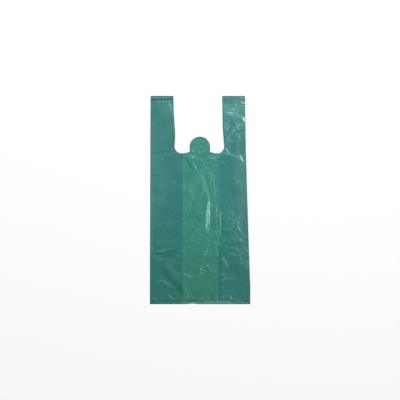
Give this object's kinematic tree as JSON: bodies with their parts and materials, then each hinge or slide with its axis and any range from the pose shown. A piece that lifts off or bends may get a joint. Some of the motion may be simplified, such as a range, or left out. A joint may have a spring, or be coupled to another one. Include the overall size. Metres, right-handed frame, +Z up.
{
  "type": "carrier bag",
  "caption": "Thin green vest-type carrier bag lying flat, with two loop handles, a round hanging tab in the mouth, side gussets and welded ends.",
  "frame": {"origin": "centre of the bag's outline, on the surface it lies on", "axes": "+X across the bag, +Y from the bottom weld towards the handles, +Z up through the layers of film"},
  "size_m": [0.2566, 0.53, 0.0056],
  "materials": {
    "green_film": "thin translucent blown film with a soft satin sheen, creased"
  },
  "bodies": {
    "root": {"carrier_bag": "green_film"}
  },
  "joints": []
}
